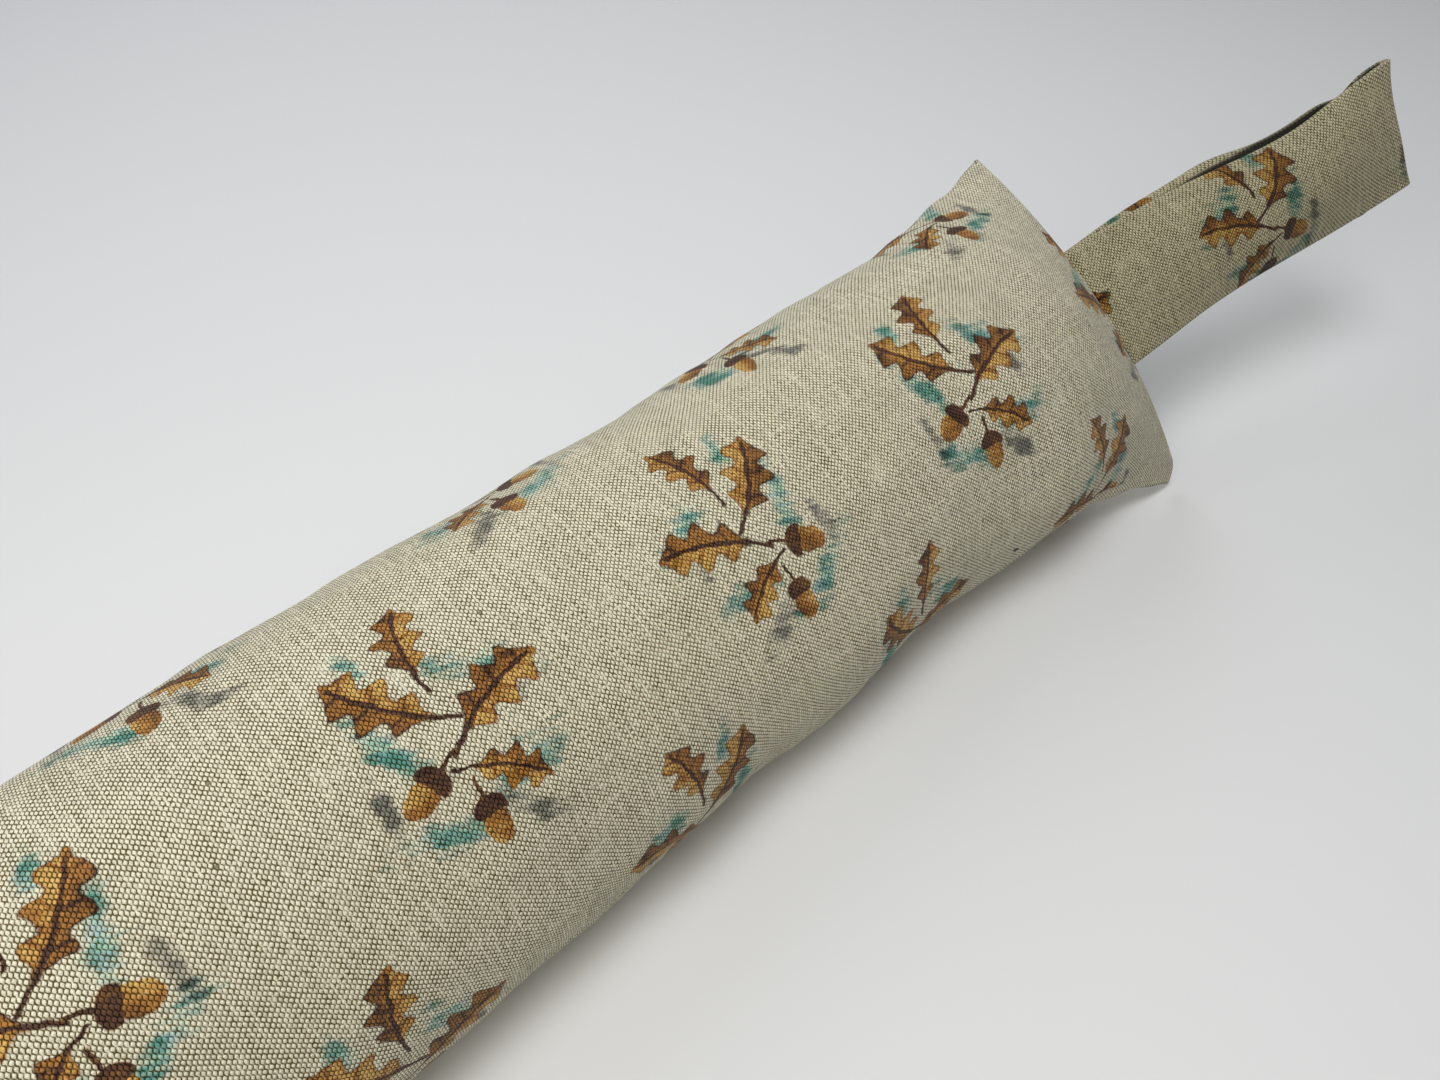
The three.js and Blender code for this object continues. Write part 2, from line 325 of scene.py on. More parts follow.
# Hanging loop: a folded strip of the same cloth, doubled back and caught in the end seam
strap = {
    "width": 54 * mm,
    "layer": 1.8 * mm,
    "clearance": 0.3 * mm,
    "flick": 3.2 * mm,  # how far the tip's corners reach past its middle
    "flickReach": 50,  # millimetres from the tip
    "edgeRidge": 0.25 * mm,  # the turned-in edges are a little thicker
    "ridgeReach": 3.5 * mm,
    "lump": 0.35 * mm,
    "lumpPitch": 45 * mm,
    "lumpSeed": 11,
    "lumpFrom": 30 * mm,  # the strap is smooth at the seam and lumpy this far from it
    "bumps": [(76, 14, 2.2), (132, 7, -3.0)],  # place, reach and height along the back layer's upper edge
    "steps": 90,
    "foldSteps": 14,
    "across": 60,
    "edgeSteps": 6,
}
strapRows = {  # millimetres, but degrees for the turn
    "out": [0, 50, 105, 149.5],
    "aside": [0, -8.4, -24, -36.5],
    "up": [0, 9.9, 22.2, 38.2],
    "turn": [0, 6.7, 19, 20],  # beyond the seam's own lean
    "cup": [2.4, 8.7, 10.5, 0.5],
    "gap": [0.6, 3.4, 3.8, 2.4],
    "lift": [0, 2.6, 1.4, 0],
}
hollow = {  # painted shade between the layers: how deep light reaches from their upper edges before the colour turns dark, in millimetres
    "front": 0.5,
    "back": (2.4, -0.8),  # near the seam and near the tip
    "backFrom": 74,  # where along the strap the one passes into the other
    "backOver": 22,
    "fade": 1.5 * mm,
}


def strapColumn(name, out):  # a smooth curve through the rows, out in millimetres
    places, values = strapRows["out"], strapRows[name]
    last = len(places) - 1
    i = next((k for k in range(1, last + 1) if places[k] >= out), last)
    before, after = max(0, i - 2), min(last, i + 1)
    span = places[i] - places[i - 1]
    t = (out - places[i - 1]) / span
    startSlope = (values[i] - values[before]) / (places[i] - places[before]) * span
    endSlope = (values[after] - values[i - 1]) / (places[after] - places[i - 1]) * span
    bend = startSlope * t * (1 - t) ** 2 - endSlope * t * t * (1 - t)
    return mix(values[i - 1], values[i], t * t * (3 - 2 * t)) + bend


def strapLean(out):
    return lean(loopEnd["tilt"] + strapColumn("turn", out))


def strapSection():  # across the width and through the thickness of one layer, as shares, round its edges
    flat = np.linspace(-1, 1, strap["across"] + 1)
    turn = np.linspace(0, math.pi, strap["edgeSteps"] + 1)[1:-1]
    section = [(a, 1, 0) for a in flat]
    section += [(1, math.cos(t), math.sin(t)) for t in turn]
    section += [(a, -1, 0) for a in flat[::-1]]
    section += [(-1, -math.cos(t), -math.sin(t)) for t in turn]
    return np.array(section)


def strapStations():  # out to the tip on the front layer, round the fold, and back behind it
    tip = strapRows["out"][-1]
    outward = [(tip * k / strap["steps"], 1, 0) for k in range(strap["steps"] + 1)]
    angles = [math.pi * k / strap["foldSteps"] for k in range(1, strap["foldSteps"])]
    fold = [(tip, math.cos(a), math.sin(a)) for a in angles]
    back = [(out, -1, 0) for out, _, _ in outward[::-1]]
    return outward + fold + back


def strapRoot():  # where the middle of the strap leaves the end seam
    _, through = lean(loopEnd["tilt"])
    x = tube["length"] / 2 - loopEnd["drawnIn"] + strap["clearance"] + shift
    root = np.array([x, loopEnd["centreY"], loopEnd["centreZ"]])
    return root + through * (loopEnd["bow"] - strapRows["cup"][0] * mm)


def strapRow(station, section, place, root):  # the points of one section, place being where each is across it
    out, facing, past = station
    across, through = strapLean(out)
    halfLayer, halfWidth = strap["layer"] / 2, strap["width"] / 2
    share = place / halfWidth
    cup = strapColumn("cup", out) * mm
    narrowed = 1 - 8 / 3 * (cup / strap["width"]) ** 2  # a shallow arc spans less than its length
    bumps = sum(high * math.exp(-((out - at) / reach) ** 2) for at, reach, high in strap["bumps"])
    raised = (strapColumn("lift", out) + bumps) * mm if facing == -1 else 0
    fromEdge = (1 - np.abs(share)) * halfWidth
    ridge = strap["edgeRidge"] * np.exp(-(fromEdge / strap["ridgeReach"]) ** 2)
    middle = strapColumn("gap", out) / 2 * mm + halfLayer
    distance = middle + section[:, 1] * (halfLayer + ridge)
    atSeam = place / loopEnd["chord"] * 2
    follow = loopEnd["drawnIn"] * atSeam ** 2 * (1 - ease(out * mm, strap["width"]))
    toTip = strapRows["out"][-1] - out
    flick = strap["flick"] * share ** 2 * (1 - ease(toTip, strap["flickReach"]))
    points = np.outer(place * narrowed + raised, across)
    points += np.outer(cup * (1 - share ** 2) + facing * distance, through)
    points += root + np.array([out, strapColumn("aside", out), strapColumn("up", out)]) * mm
    points[:, 0] += past * distance + follow + flick
    return points


def strapPaintedShade(station, section, place):  # share of each point's colour painted dark, as the shade between the layers
    out, facing, _ = station
    lit = hollow["front"]
    if facing == -1:
        lit = mix(*hollow["back"], ease(out - hollow["backFrom"], hollow["backOver"]))
    below = strap["width"] / 2 - place
    return (1 - section[:, 1]) / 2 * ease(below - lit * mm, hollow["fade"])


def makeStrap():
    section, stations, root = strapSection(), strapStations(), strapRoot()
    halfLayer = strap["layer"] / 2
    v = section[:, 0] * (strap["width"] / 2 - halfLayer) + section[:, 2] * halfLayer
    grid = np.stack([strapRow(station, section, v, root) for station in stations])
    shade = np.concatenate([strapPaintedShade(station, section, v) for station in stations])
    steps = np.linalg.norm(np.diff(grid[:, strap["across"] // 2], axis=0), axis=1)
    u = np.concatenate([[0], np.cumsum(steps)])

    uGrid, vGrid = np.meshgrid(u, v, indexing="ij")
    lumps = softNoise(uGrid, vGrid, strap["lumpPitch"], strap["lumpSeed"])
    lumps = lumps * strap["lump"] * ease(uGrid, strap["lumpFrom"])
    outward = np.stack([strapLean(out)[1] * facing for out, facing, _ in stations])
    grid = grid + lumps[:, :, None] * outward[:, None, :]

    count = len(section)
    faces, cornerRows, cornerColumns = gridFaces(len(grid), count)
    clothMap = np.stack([u[cornerRows], -v[cornerColumns % count]], -1)[:, ::-1].reshape(-1, 2)
    first = np.arange(count)
    last = first[::-1] + (len(grid) - 1) * count
    firstMap = np.stack([np.full(count, u[0]), -v], -1)
    lastMap = np.stack([np.full(count, u[-1]), -v[::-1]], -1)
    faces = faces[:, ::-1].tolist() + [first.tolist(), last.tolist()]
    return grid.reshape(-1, 3), faces, np.concatenate([clothMap, firstMap, lastMap]), shade, u[-1]


strapPoints, strapFaces, strapMap, strapShade, strapLength = makeStrap()
loop = makeMesh("hanging_loop_cloth", strapPoints, strapFaces, strapMap)
# the inside attribute carries the painted shade between the loop's layers
loop.data.attributes.new("inside", "FLOAT", "POINT").data.foreach_set("value", strapShade.astype(np.float32))
print("hanging loop", len(strapPoints), "points, length", round(strapLength, 4))


# Shader helpers
def feed(tree, socket, value):
    if isinstance(value, bpy.types.NodeSocket):
        tree.links.new(value, socket)
    else:
        socket.default_value = value


def calc(tree, operation, *values):
    made = tree.nodes.new("ShaderNodeMath")
    made.operation = operation
    for socket, value in zip(made.inputs, values):
        feed(tree, socket, value)
    return made.outputs[0]


def smooth(tree, value, low, high):  # 0 at low and 1 at high
    made = tree.nodes.new("ShaderNodeMapRange")
    made.interpolation_type = "SMOOTHSTEP"
    for name, given in (("Value", value), ("From Min", low), ("From Max", high)):
        feed(tree, made.inputs[name], given)
    return made.outputs["Result"]


def clamped(tree, value):
    made = tree.nodes.new("ShaderNodeClamp")
    feed(tree, made.inputs["Value"], value)
    return made.outputs["Result"]


def split(tree, vector):
    made = tree.nodes.new("ShaderNodeSeparateXYZ")
    feed(tree, made.inputs[0], vector)
    return made.outputs[0], made.outputs[1]


def join(tree, x, y):
    made = tree.nodes.new("ShaderNodeCombineXYZ")
    for socket, value in zip(made.inputs, (x, y)):
        feed(tree, socket, value)
    return made.outputs[0]


def vectorCalc(tree, operation, *values):
    made = tree.nodes.new("ShaderNodeVectorMath")
    made.operation = operation
    for socket, value in zip(made.inputs, values):
        feed(tree, socket, value)
    return made.outputs["Value"] if operation == "LENGTH" else made.outputs["Vector"]


def noise(tree, vector, scale, detail=1.0):
    made = tree.nodes.new("ShaderNodeTexNoise")
    made.noise_dimensions = "2D"
    feed(tree, made.inputs["Vector"], vector)
    made.inputs["Scale"].default_value = scale
    made.inputs["Detail"].default_value = detail
    return made


def placed(tree, vector, at, turn, size):  # the vector seen from a motif at that place, turn and size
    made = tree.nodes.new("ShaderNodeMapping")
    made.vector_type = "TEXTURE"
    feed(tree, made.inputs["Vector"], vector)
    made.inputs["Location"].default_value = (*at, 0)
    made.inputs["Rotation"].default_value = (0, 0, math.radians(turn))
    made.inputs["Scale"].default_value = (*size, 1)
    return made.outputs[0]


def mixColour(tree, kind, factor, first, second):  # 6, 7 and 2 are the node's colour sockets
    made = tree.nodes.new("ShaderNodeMix")
    made.data_type = "RGBA"
    made.blend_type = kind
    feed(tree, made.inputs[0], factor)
    feed(tree, made.inputs[6], first)
    feed(tree, made.inputs[7], second)
    return made.outputs[2]


def newGroup(name, inputs, outputs):
    tree = bpy.data.node_groups.new(name, "ShaderNodeTree")
    for label, kind in inputs:
        tree.interface.new_socket(label, in_out="INPUT", socket_type=kind)
    for label, kind in outputs:
        tree.interface.new_socket(label, in_out="OUTPUT", socket_type=kind)
    return tree, tree.nodes.new("NodeGroupInput").outputs, tree.nodes.new("NodeGroupOutput").inputs


def useGroup(tree, group, **given):
    made = tree.nodes.new("ShaderNodeGroup")
    made.node_tree = group
    for name, value in given.items():
        feed(tree, made.inputs[name], value)
    return made.outputs


# Weave: pale threads over dark gaps in a plain weave; the dark gaps are partly the cloth's own tone and
# partly painted shade where the threads sink
weave = {
    "thread": 0.85 * mm,
    "ribs": (0.46, 0.2),  # how strongly the threads of each way stand out beside the checks
    "slubs": (0.4, 0.25),  # how uneven single threads of each way are
    "slubPace": (0.7, 0.06),  # how fast that changes from thread to thread and along a thread
    "shown": (-0.6, 0.05),  # heights that look wholly dark and wholly pale
    "wander": 0.3,  # how far the threads stray, in threads
    "wanderScale": 0.05,
    "jitter": 0.3,  # the same from crossing to crossing
    "jitterScale": 0.9,
    "detail": 2.0,
    "fuzz": 0.7,  # how ragged the edges of the crossings are
    "mottle": 0.34,  # how much the tone differs from crossing to crossing
    "cloudy": 0.22,  # slow changes of tone over the cloth
    "fleckShare": 0.0003,  # share of the crossings with a dark fleck
    "fleckDepth": 0.6,
}
grey = (0.5, 0.5, 0.5)  # the middle of a noise


def makeWeave():
    tree, given, result = newGroup(
        "weave",
        [("Cloth", "NodeSocketVector"), ("Pale", "NodeSocketColor"), ("Dark", "NodeSocketColor")],
        [("Color", "NodeSocketColor"), ("Height", "NodeSocketFloat")])
    threads = vectorCalc(tree, "MULTIPLY", given["Cloth"], (1 / weave["thread"], 1 / weave["thread"], 0))
    slow = noise(tree, threads, weave["wanderScale"], weave["detail"])
    fine = noise(tree, threads, weave["jitterScale"], weave["detail"])
    strayed = threads
    for uneven, reach in ((slow, weave["wander"]), (fine, weave["jitter"])):
        stray = vectorCalc(tree, "SUBTRACT", uneven.outputs["Color"], grey)
        strayed = vectorCalc(tree, "MULTIPLY_ADD", stray, (reach,) * 3, strayed)
    x, y = split(tree, strayed)
    across = calc(tree, "COSINE", calc(tree, "MULTIPLY", x, math.pi))
    around = calc(tree, "COSINE", calc(tree, "MULTIPLY", y, math.pi))
    raised = calc(tree, "MULTIPLY", across, around)
    for wave, strength in zip((x, y), weave["ribs"]):
        rib = calc(tree, "COSINE", calc(tree, "MULTIPLY", wave, 2 * math.pi))
        raised = calc(tree, "MULTIPLY_ADD", rib, strength, raised)
    ragged = calc(tree, "SUBTRACT", fine.outputs["Fac"], 0.5)
    raised = calc(tree, "MULTIPLY_ADD", ragged, weave["fuzz"], raised)
    warp, weft = calc(tree, "ROUND", x), calc(tree, "ROUND", y)
    beside, along = weave["slubPace"]
    for number, length, strength in zip((warp, weft), (y, x), weave["slubs"]):
        single = join(tree, calc(tree, "MULTIPLY", number, beside), calc(tree, "MULTIPLY", length, along))
        uneven = calc(tree, "SUBTRACT", noise(tree, single, 1.0).outputs["Fac"], 0.5)
        raised = calc(tree, "MULTIPLY_ADD", uneven, strength, raised)
    # colour follows height: the low gaps take the dark colour, partly painted shade between the raised
    # threads
    shown = smooth(tree, raised, *weave["shown"])
    cloud = calc(tree, "MULTIPLY_ADD", slow.outputs["Fac"], weave["cloudy"], 1 - weave["cloudy"] / 2)
    crossing = tree.nodes.new("ShaderNodeTexWhiteNoise")
    crossing.noise_dimensions = "2D"
    feed(tree, crossing.inputs["Vector"], join(tree, warp, weft))
    tone = calc(tree, "MULTIPLY_ADD", crossing.outputs["Value"], weave["mottle"], 1 - weave["mottle"] / 2)
    fleck = calc(tree, "LESS_THAN", crossing.outputs["Value"], weave["fleckShare"])
    tone = calc(tree, "MULTIPLY_ADD", fleck, -weave["fleckDepth"], tone)
    shown = calc(tree, "MULTIPLY", shown, calc(tree, "MULTIPLY", cloud, tone))
    feed(tree, result["Color"], mixColour(tree, "MIX", shown, given["Dark"], given["Pale"]))
    feed(tree, result["Height"], raised)
    return tree


# Print: sprigs of oak leaves and acorns over loose dabs of colour
sprig = {
    "cell": (104, 80),  # millimetres of cloth for each sprig
    "size": 0.84,
    "sway": 14,  # degrees that a sprig leans, and its neighbours the other way
    "straw": (0.90, 0.58, 0.20, 1),
    "gold": (0.54, 0.23, 0.035, 1),
    "brown": (0.08, 0.018, 0.007, 1),
    "teal": (0.50, 0.84, 0.86, 1),
    "blue": (0.46, 0.70, 0.95, 1),
    "deepTeal": (0.13, 0.40, 0.42, 1),
    "slate": (0.62, 0.63, 0.67, 1),
    "deepSlate": (0.27, 0.28, 0.31, 1),
}
# place in millimetres from the sprig's middle, turn in degrees, length and half width
leaves = [
    ((-3, -6), 148, (36, 11)),
    ((2, 2), 38, (37, 11)),
    ((3, 16), 92, (30, 9)),
    ((-1, -16), 205, (26, 8)),
]
acorns = [((7, -14), -38, (17, 6)), ((-2, -26), -100, (16, 5.5))]
# the same for dabs, with half the length
tealDabs = [
    ((-17, 14), 25, (17, 6)),
    ((19, -3), 60, (17, 5)),
    ((10, -34), 15, (18, 5)),
    ((-20, -20), -20, (12, 6)),
    ((20, 26), 70, (9, 4)),
]
slateDabs = [((-19, -36), 35, (13, 4.5)), ((25, -22), 80, (12, 3)), ((-24, 2), 80, (9, 2.5))]
# two light colours and a deep one, and where they are dabbed
paints = [("slate", "slate", "deepSlate", slateDabs), ("teal", "blue", "deepTeal", tealDabs)]
brushwork = {
    "shake": 2.2,  # millimetres over which the brush strays
    "shakeScale": 260,
    "washScale": 110,
    "washDetail": 3.0,
    "streakScale": 420,
    "streakDetail": 2.0,
    "streakTurn": 20,
    "streakSize": (7, 1),
    "rough": (2.0, 1.4, -1.7),  # share of the wash, share of the streaks and a start
    "deep": (1.0, 0.5, 0.0),
    "patchy": (0.8, 0.5, -0.65),
    "deepRange": (0.6, 0.95),
    "secondRange": (0.4, 0.65),  # streaks that take the second light colour
    "dabEdge": (-0.25, 0.8),
    "goldRange": (0.0, 0.35),  # shades that pass from straw to gold
    "brownRange": (0.25, 0.9),
    "cover": 0.95,
}
# along a motif from 0 to 1, and across it in half widths; pairs are where a mask starts and where it is full
leafForm = {
    "arch": 0.9,  # how far the leaf curves
    "growth": 1.25,  # the higher, the nearer the tip it is widest
    "fullness": 0.55,
    "lobes": 3.6,
    "lobeStart": 0.8,
    "lobeDepth": 0.26,
    "edge": (0.0, 0.12),
    "rib": (0.11, 0.04),
    "stalk": (-0.22, -0.18),
    "ribTip": (0.97, 0.9),
    "veinSlant": 0.55,
    "vein": (0.8, 1.0),
    "lowerHalf": (0.15, -0.35),
    "rim": (0.22, 0.06),
}
leafShade = {"plain": 0.12, "lowerHalf": 0.4, "vein": 0.3, "rim": 0.4, "rib": 0.7}
acornForm = {
    "nut": ((0.56, 0), (0.44, 0.8)),  # middle and half size
    "cap": ((0.24, 0), (0.26, 1.0)),
    "edge": (1.08, 0.92),
    "capRim": (0.4, 0.34),
    "stalk": (0.16, 0.08),
    "stalkFrom": (-0.5, -0.4),
    "stalkTo": (0.2, 0.1),
    "nutShade": (-0.28, 0.3),  # across the nut, and in its middle
    "capShade": 0.85,
}


def motifGroup(name):
    outputs = [("Mask", "NodeSocketFloat"), ("Shade", "NodeSocketFloat")]
    return newGroup(name, [("Place", "NodeSocketVector")], outputs)


def makeLeaf():
    tree, given, result = motifGroup("oakLeaf")
    x, y = split(tree, given["Place"])
    arch = calc(tree, "MULTIPLY", x, calc(tree, "SUBTRACT", 1.0, x))
    y = calc(tree, "MULTIPLY_ADD", arch, leafForm["arch"], y)
    off = calc(tree, "ABSOLUTE", y)
    t = clamped(tree, x)
    grown = calc(tree, "POWER", t, leafForm["growth"])
    swell = calc(tree, "MULTIPLY", calc(tree, "MULTIPLY", grown, 4.0), calc(tree, "SUBTRACT", 1.0, grown))
    outline = calc(tree, "POWER", swell, leafForm["fullness"])
    turns = calc(tree, "MULTIPLY_ADD", t, 2 * math.pi * leafForm["lobes"], leafForm["lobeStart"])
    lobes = calc(tree, "COSINE", turns)
    lobed = calc(tree, "MULTIPLY_ADD", lobes, leafForm["lobeDepth"], 1 - leafForm["lobeDepth"])
    within = calc(tree, "SUBTRACT", calc(tree, "MULTIPLY", outline, lobed), off)
    inside = smooth(tree, within, *leafForm["edge"])
    ribEnds = [smooth(tree, x, *leafForm[name]) for name in ("stalk", "ribTip")]
    rib = calc(tree, "MULTIPLY", smooth(tree, off, *leafForm["rib"]), calc(tree, "MULTIPLY", *ribEnds))
    veinAt = calc(tree, "MULTIPLY", t, leafForm["lobes"])
    veinAt = calc(tree, "MULTIPLY_ADD", off, -leafForm["veinSlant"], veinAt)
    veins = calc(tree, "COSINE", calc(tree, "MULTIPLY_ADD", veinAt, 2 * math.pi, leafForm["lobeStart"]))
    shade = leafShade["plain"]
    for name, mask in (
        ("lowerHalf", smooth(tree, y, *leafForm["lowerHalf"])),
        ("vein", smooth(tree, veins, *leafForm["vein"])),
        ("rim", smooth(tree, within, *leafForm["rim"])),
        ("rib", rib),
    ):
        shade = calc(tree, "MULTIPLY_ADD", mask, leafShade[name], shade)
    feed(tree, result["Mask"], calc(tree, "MAXIMUM", inside, rib))
    feed(tree, result["Shade"], shade)
    return tree


def makeAcorn():
    tree, given, result = motifGroup("acorn")
    x, y = split(tree, given["Place"])
    rounds = []
    for name in ("nut", "cap"):
        middle, size = acornForm[name]
        far = vectorCalc(tree, "LENGTH", placed(tree, given["Place"], middle, 0, size))
        rounds.append(smooth(tree, far, *acornForm["edge"]))
    nut, cap = rounds
    cap = calc(tree, "MULTIPLY", cap, smooth(tree, x, *acornForm["capRim"]))
    stalk = smooth(tree, calc(tree, "ABSOLUTE", y), *acornForm["stalk"])
    for reach in ("stalkFrom", "stalkTo"):
        stalk = calc(tree, "MULTIPLY", stalk, smooth(tree, x, *acornForm[reach]))
    cap = calc(tree, "MAXIMUM", cap, stalk)
    rounded = calc(tree, "MULTIPLY_ADD", y, *acornForm["nutShade"])
    capped = calc(tree, "MULTIPLY", cap, acornForm["capShade"])
    feed(tree, result["Mask"], calc(tree, "MAXIMUM", nut, cap))
    feed(tree, result["Shade"], calc(tree, "MAXIMUM", rounded, capped))
    return tree


def dabs(tree, place, spots, rough):  # brush dabs with broken edges
    nearest = None
    for at, turn, size in spots:
        depth = calc(tree, "SUBTRACT", 1.0, vectorCalc(tree, "LENGTH", placed(tree, place, at, turn, size)))
        nearest = depth if nearest is None else calc(tree, "MAXIMUM", nearest, depth)
    return smooth(tree, calc(tree, "ADD", nearest, rough), *brushwork["dabEdge"])


def sprigPlace(tree, given):  # millimetres from the middle of the nearest sprig, every other one mirrored
    wide, high = sprig["cell"]
    x, y = split(tree, given)
    rows = calc(tree, "DIVIDE", y, -high * mm)
    oddRow = calc(tree, "FLOORED_MODULO", calc(tree, "FLOOR", rows), 2.0)
    columns = calc(tree, "MULTIPLY_ADD", oddRow, 0.5, calc(tree, "DIVIDE", x, wide * mm))
    oddColumn = calc(tree, "FLOORED_MODULO", calc(tree, "FLOOR", columns), 2.0)
    facing = calc(tree, "MULTIPLY_ADD", oddColumn, -2.0, 1.0)
    localX = calc(tree, "MULTIPLY", calc(tree, "SUBTRACT", calc(tree, "FRACT", columns), 0.5), wide)
    localX = calc(tree, "MULTIPLY", localX, facing)
    localY = calc(tree, "MULTIPLY", calc(tree, "SUBTRACT", calc(tree, "FRACT", rows), 0.5), high)
    return placed(tree, join(tree, localX, localY), (0, 0), sprig["sway"], (sprig["size"],) * 2)


def makePrint():
    tree, given, result = newGroup(
        "sprigPrint", [("Cloth", "NodeSocketVector")], [("Tint", "NodeSocketColor")])
    leafGroup, acornGroup = makeLeaf(), makeAcorn()
    brush = noise(tree, given["Cloth"], brushwork["shakeScale"], brushwork["washDetail"])
    shaken = vectorCalc(tree, "SUBTRACT", brush.outputs["Color"], grey)
    shaken = vectorCalc(tree, "MULTIPLY", shaken, (brushwork["shake"], brushwork["shake"], 0))
    place = vectorCalc(tree, "ADD", sprigPlace(tree, given["Cloth"]), shaken)
    wash = noise(tree, given["Cloth"], brushwork["washScale"], brushwork["washDetail"]).outputs["Fac"]
    stretched = placed(tree, given["Cloth"], (0, 0), brushwork["streakTurn"], brushwork["streakSize"])
    streaks = noise(tree, stretched, brushwork["streakScale"], brushwork["streakDetail"]).outputs["Fac"]
    uneven = {}
    for name in ("rough", "deep", "patchy"):
        washShare, streakShare, start = brushwork[name]
        streaked = calc(tree, "MULTIPLY_ADD", streaks, streakShare, start)
        uneven[name] = calc(tree, "MULTIPLY_ADD", wash, washShare, streaked)
    deep = smooth(tree, uneven["deep"], *brushwork["deepRange"])
    second = smooth(tree, streaks, *brushwork["secondRange"])
    tint = (1, 1, 1, 1)
    for light, other, dark, spots in paints:
        paint = mixColour(tree, "MIX", second, sprig[light], sprig[other])
        paint = mixColour(tree, "MIX", deep, paint, sprig[dark])
        laid = mixColour(tree, "MIX", dabs(tree, place, spots, uneven["rough"]), (1, 1, 1, 1), paint)
        tint = mixColour(tree, "MULTIPLY", 1.0, tint, laid)
    for group, spots in ((leafGroup, leaves), (acornGroup, acorns)):
        for at, turn, size in spots:
            motif = useGroup(tree, group, Place=placed(tree, place, at, turn, size))
            shade = calc(tree, "ADD", motif["Shade"], uneven["patchy"])
            toGold, toBrown = (smooth(tree, shade, *brushwork[name]) for name in ("goldRange", "brownRange"))
            painted = mixColour(tree, "MIX", toGold, sprig["straw"], sprig["gold"])
            painted = mixColour(tree, "MIX", toBrown, painted, sprig["brown"])
            cover = calc(tree, "MULTIPLY", motif["Mask"], brushwork["cover"])
            tint = mixColour(tree, "MIX", cover, tint, painted)
    feed(tree, result["Tint"], tint)
    return tree


weaveGroup = makeWeave()
printGroup = makePrint()
print("shader groups made")

# Cloth: the woven colour, tinted by the print
cloth = {  # slide moves the print along and around, in metres
    "body": {"pale": (0.82, 0.785, 0.618, 1), "dark": (0.098, 0.074, 0.022, 1), "slide": (0.02, 0.0)},
    # painted shade: the strap is the same cloth, with its pale and dark painted darker for the shade it lies
    # in
    "strap": {"pale": (0.535, 0.495, 0.33, 1), "dark": (0.05, 0.038, 0.01, 1), "slide": (-0.028, -0.04)},
    "hollow": (0.012, 0.010, 0.006, 1),  # painted shade: near-black colour painted deep between the loop's layers and in the body's stitch nicks
    "roughness": 0.9,
    "specular": 0.14,
    "sheen": 0.1,
    "grain": 0.6,  # strength of the weave's relief
    "relief": 0.2 * mm,
}
shadedNicks = {  # where stitches pull the cloth into small nicks, painted dark for the shade in them
    "places": [(181, 16), (214, 9), (348, 17), (379, 14)],  # millimetres along and above the long seam
    "size": (3.2, 1.3),
    "turn": 35,
    "edge": (1.0, 0.35),
}


# painted shade in the stitch nicks: a near-black mask round each one
def nickShadeMask(tree, place):
    fromSewn = vectorCalc(tree, "SUBTRACT", place, (0, girth, 0))
    fromSewn = vectorCalc(tree, "MULTIPLY", fromSewn, (1 / mm, 1 / mm, 0))
    mask = 0.0
    for along, above in shadedNicks["places"]:
        seen = placed(tree, fromSewn, (along, -above), shadedNicks["turn"], shadedNicks["size"])
        far = vectorCalc(tree, "LENGTH", seen)
        mask = calc(tree, "MAXIMUM", mask, smooth(tree, far, *shadedNicks["edge"]))
    return mask


# the painted shade between the loop's layers, as stored on the strap's points
def hollowMask(tree):
    inside = tree.nodes.new("ShaderNodeAttribute")
    inside.attribute_name = "inside"
    return inside.outputs["Fac"]


def principled(material):
    material.use_nodes = True
    return next(node for node in material.node_tree.nodes if node.type == "BSDF_PRINCIPLED")


def clothMaterial(name, own):
    material = bpy.data.materials.new(name)
    shader = principled(material)
    tree = material.node_tree
    place = tree.nodes.new("ShaderNodeUVMap")
    place.uv_map = "cloth"
    threads = useGroup(tree, weaveGroup, Cloth=place.outputs[0], Pale=own["pale"], Dark=own["dark"])
    moved = vectorCalc(tree, "ADD", place.outputs[0], (*own["slide"], 0))
    tint = useGroup(tree, printGroup, Cloth=moved)["Tint"]
    printed = mixColour(tree, "MULTIPLY", 1.0, threads["Color"], tint)
    # painted shade: dark marks the loop's shaded inside or the body's shaded stitch nicks
    dark = hollowMask(tree) if name == "strap_cloth" else nickShadeMask(tree, place.outputs[0])
    feed(tree, shader.inputs["Base Color"], mixColour(tree, "MIX", dark, printed, cloth["hollow"]))
    bump = tree.nodes.new("ShaderNodeBump")
    bump.inputs["Strength"].default_value = cloth["grain"]
    bump.inputs["Distance"].default_value = cloth["relief"]
    feed(tree, bump.inputs["Height"], threads["Height"])
    feed(tree, shader.inputs["Normal"], bump.outputs[0])
    shader.inputs["Roughness"].default_value = cloth["roughness"]
    shader.inputs["Specular IOR Level"].default_value = cloth["specular"]
    shader.inputs["Sheen Weight"].default_value = cloth["sheen"]
    return material


body.data.materials.append(clothMaterial("printed_cloth", cloth["body"]))
loop.data.materials.append(clothMaterial("strap_cloth", cloth["strap"]))
print("materials made")

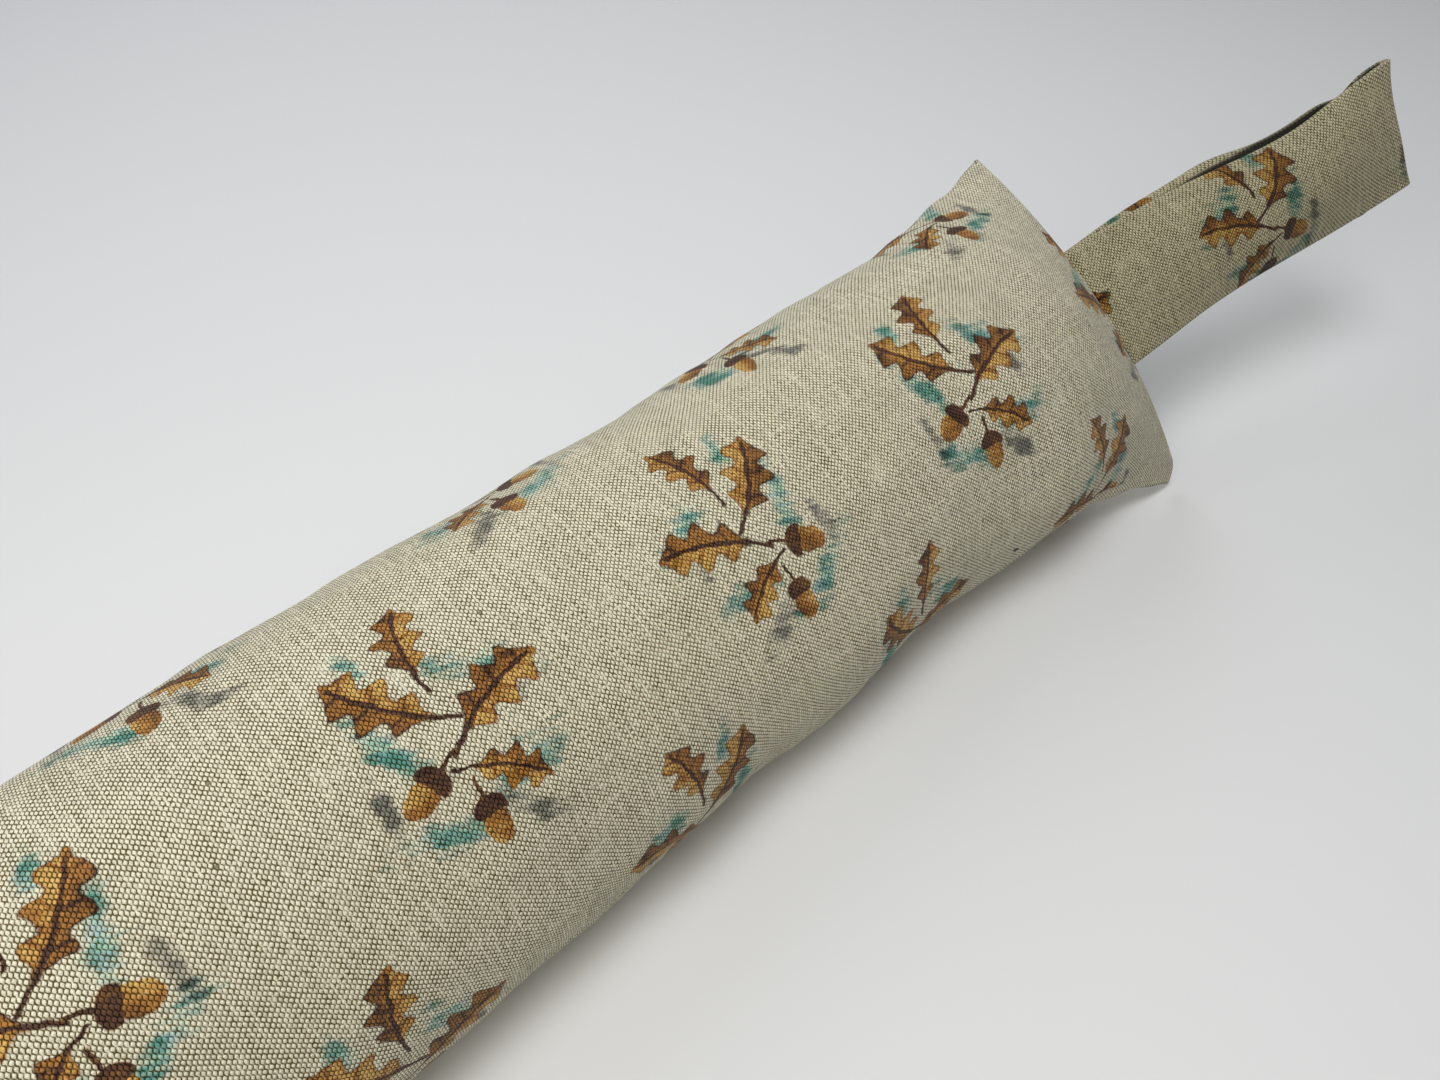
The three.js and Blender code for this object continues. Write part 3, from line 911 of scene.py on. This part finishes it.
# Floor, light and camera
room = {
    "floorSide": 8,
    "floorDrop": 0.3 * mm,  # keeps the floor clear of the flat underside
    "floorColour": (0.74, 0.75, 0.765, 1),
    "floorRoughness": 0.85,
    "sky": (0.95, 0.97, 1.0, 1),
    "skyStrength": 0.10,
    "aim": (0.10, 0.0, 0.03),
    "lamps": [  # place, side, power and colour of each soft lamp
        ((0.00, -0.10, 1.00), 0.4, 4.8, (1.0, 1.0, 1.0)),
        ((0.10, 0.90, 1.00), 0.9, 4.1, (0.97, 1.0, 1.04)),
        ((-0.50, -0.30, 0.70), 0.6, 2.9, (1.07, 1.0, 0.84)),
        ((0.90, 0.00, 0.90), 0.8, 1.9, (1.0, 1.0, 1.0)),
        ((0.80, 1.00, 0.80), 0.8, 2.3, (1.0, 1.0, 1.0)),
    ],
}
bpy.ops.mesh.primitive_plane_add(size=room["floorSide"], location=(0, 0, -room["floorDrop"]))
floor = bpy.context.object
floor.name = "floor"
paper = bpy.data.materials.new("floor_paper")
paperShader = principled(paper)
paperShader.inputs["Base Color"].default_value = room["floorColour"]
paperShader.inputs["Roughness"].default_value = room["floorRoughness"]
floor.data.materials.append(paper)

world = bpy.data.worlds.new("studio")
bpy.context.scene.world = world
world.use_nodes = True
sky = next(node for node in world.node_tree.nodes if node.type == "BACKGROUND")
sky.inputs["Color"].default_value = room["sky"]
sky.inputs["Strength"].default_value = room["skyStrength"]

for place, side, power, colour in room["lamps"]:
    lamp = bpy.data.lights.new("soft_lamp", "AREA")
    lamp.energy = power
    lamp.color = colour
    lamp.size = side
    lampObject = bpy.data.objects.new("soft_lamp", lamp)
    lampObject.location = place
    lampObject.rotation_euler = (Vector(room["aim"]) - Vector(place)).to_track_quat("-Z", "Y").to_euler()
    bpy.context.scene.collection.objects.link(lampObject)

view = {
    "place": (87.69 * mm, -176.57 * mm, 334.04 * mm),  # x from the tube's middle
    "down": 48.12,  # degrees below the horizon
    "turned": 46.97,  # degrees from +X towards +Y
    "roll": 0.74,
    "lens": 26.25,  # millimetres, as is the sensor
    "sensor": 36,
    "near": 0.01,
}


def makeCamera():
    down, turned, roll = (math.radians(view[name]) for name in ("down", "turned", "roll"))
    level = math.cos(down)
    forward = np.array([math.cos(turned) * level, math.sin(turned) * level, -math.sin(down)])
    flat = np.cross(forward, [0, 0, 1])
    flat /= np.linalg.norm(flat)
    below = np.cross(forward, flat)
    right = flat * math.cos(roll) + below * math.sin(roll)
    below = -flat * math.sin(roll) + below * math.cos(roll)
    data = bpy.data.cameras.new("camera")
    data.lens = view["lens"]
    data.sensor_width = view["sensor"]
    data.clip_start = view["near"]
    made = bpy.data.objects.new("camera", data)
    axes = Matrix((right, -below, -forward)).transposed().to_4x4()
    axes.translation = Vector(view["place"]) + Vector((shift, 0, 0))
    made.matrix_world = axes
    bpy.context.scene.collection.objects.link(made)
    return made


bpy.context.scene.camera = makeCamera()
bpy.context.scene.view_settings.view_transform = "Standard"
print("floor, light and camera made")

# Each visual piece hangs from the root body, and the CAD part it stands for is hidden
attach(body, "root")
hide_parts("body")
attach(loop, "root")
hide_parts("hanging_loop")
